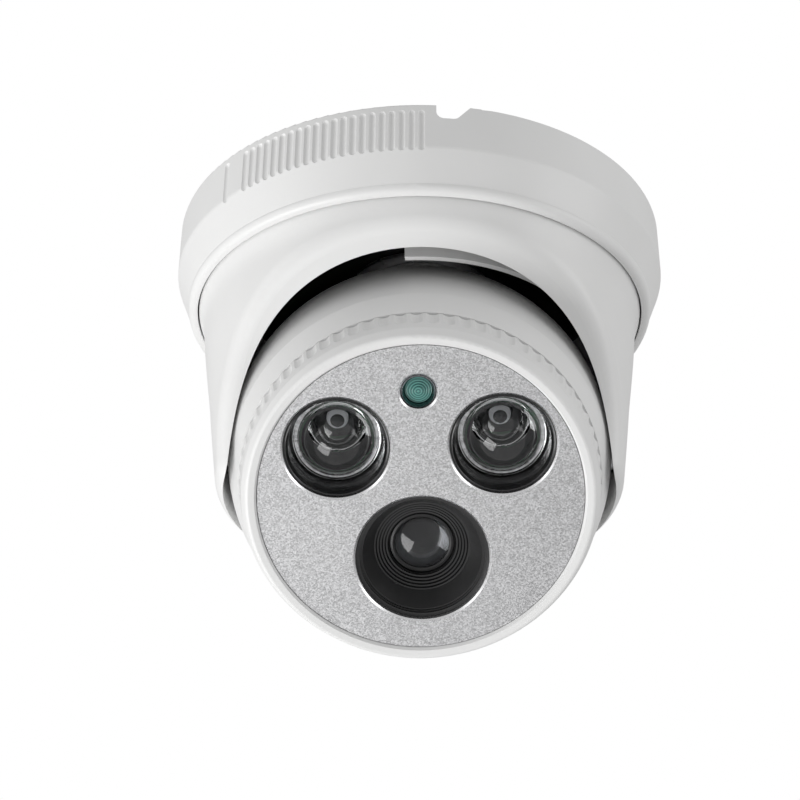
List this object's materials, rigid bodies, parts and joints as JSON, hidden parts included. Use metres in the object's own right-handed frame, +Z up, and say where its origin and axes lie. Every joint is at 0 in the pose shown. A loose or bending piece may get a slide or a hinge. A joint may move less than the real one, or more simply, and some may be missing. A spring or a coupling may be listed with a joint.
{
  "type": "dome cctv camera",
  "caption": "Ceiling-mounted turret security camera: twist ring, panning hood, tilting ball and a rotating head with lens, infrared lamps and light sensor.",
  "frame": {"origin": "centre of the ceiling mounting face, on the pan axis", "axes": "+Z up into the ceiling along the pan axis, -Y forward, the way the lens looks, +X to the right seen from the front"},
  "size_m": [0.1106, 0.1106, 0.0985],
  "materials": {
    "white_abs": "satin moulded ABS",
    "silver_plate": "sandblasted and anodised",
    "gloss_black": "gloss black",
    "black_plastic": "matt black",
    "rubber": "soft black rubber",
    "foam": "closed-cell foam",
    "pom": "natural acetal",
    "nylon": "natural nylon",
    "steel": "zinc-plated",
    "aluminium": "extruded",
    "brass": "turned",
    "circuit_board": "solder mask on glass-fibre board",
    "chip": "epoxy package",
    "thermal_pad": "filled silicone",
    "clear_lens": "moulded clear",
    "clear_glass": "polished",
    "blue_glass": "infrared-blocking",
    "coated_glass": "coated",
    "lamp": "resin over dice",
    "dark_chrome": "dark bright-turned",
    "teal_lens": "clear resin over a dark element"
  },
  "bodies": {
    "base": {"mounting_plate": "white_abs", "pan_hub": "white_abs", "hub_screws": "steel", "plate_foot": "white_abs", "mount_gasket": "foam", "friction_ring": "pom", "hub_clip": "steel"},
    "twist_ring": {"lock_ring": "white_abs", "lock_pad": "rubber"},
    "turret": {"turret_shell": "white_abs", "turret_deck": "black_plastic", "deck_screws": "steel", "wire_guard": "white_abs", "tilt_bush_left": "pom", "tilt_bush_right": "pom"},
    "ball": {"ball_shell": "white_abs", "tilt_pin_left": "steel", "tilt_pin_right": "steel", "cable_gland": "rubber", "gland_nut": "black_plastic", "main_board": "circuit_board", "main_board_screws": "steel", "processor": "chip", "thermal_pad": "thermal_pad", "heat_sink": "aluminium", "board_connectors": "nylon"},
    "head": {"front_ring": "white_abs", "head_o_ring": "rubber", "face_plate": "silver_plate", "face_gasket": "rubber", "head_retainer": "black_plastic", "retainer_screws": "steel", "led_collar_left": "black_plastic", "led_collar_right": "black_plastic", "led_lens_left": "clear_lens", "led_lens_right": "clear_lens", "led_emitter_left": "lamp", "led_emitter_right": "lamp", "ir_board": "circuit_board", "ir_board_screws": "steel", "face_posts": "brass", "lens_hood": "gloss_black", "lens_barrel": "gloss_black", "front_element": "coated_glass", "rear_element": "coated_glass", "lens_nut": "brass", "lens_mount": "black_plastic", "ircut_housing": "black_plastic", "ircut_motor": "black_plastic", "sensor_board": "circuit_board", "image_sensor": "chip", "board_posts": "brass", "sensor_board_screws": "steel", "sensor_connector": "nylon", "eye_bezel": "dark_chrome", "light_sensor": "teal_lens"},
    "filter_slide": {"ircut_carriage": "black_plastic", "night_filter": "clear_glass", "day_filter": "blue_glass"}
  },
  "joints": [
    {"name": "ring_twist", "type": "hinge", "parent": "base", "child": "twist_ring", "pos_m": [0, 0, 0], "axis": [0, 0, 1], "range_deg": [0, 28]},
    {"name": "turret_pan", "type": "hinge", "parent": "base", "child": "turret", "pos_m": [0, 0, -0.011], "axis": [0, 0, 1], "range_deg": [-170, 170]},
    {"name": "ball_tilt", "type": "hinge", "parent": "turret", "child": "ball", "pos_m": [0, 0, -0.056], "axis": [1, 0, 0], "range_deg": [-41, 38.8]},
    {"name": "head_rotate", "type": "hinge", "parent": "ball", "child": "head", "pos_m": [0, 0, -0.056], "axis": [0, -0.6266, -0.7793], "range_deg": [-175, 175]},
    {"name": "filter_shift", "type": "slide", "parent": "head", "child": "filter_slide", "axis": [0.9993, -0.0299, 0.0241], "range_m": [0, 0.0056]}
  ]
}
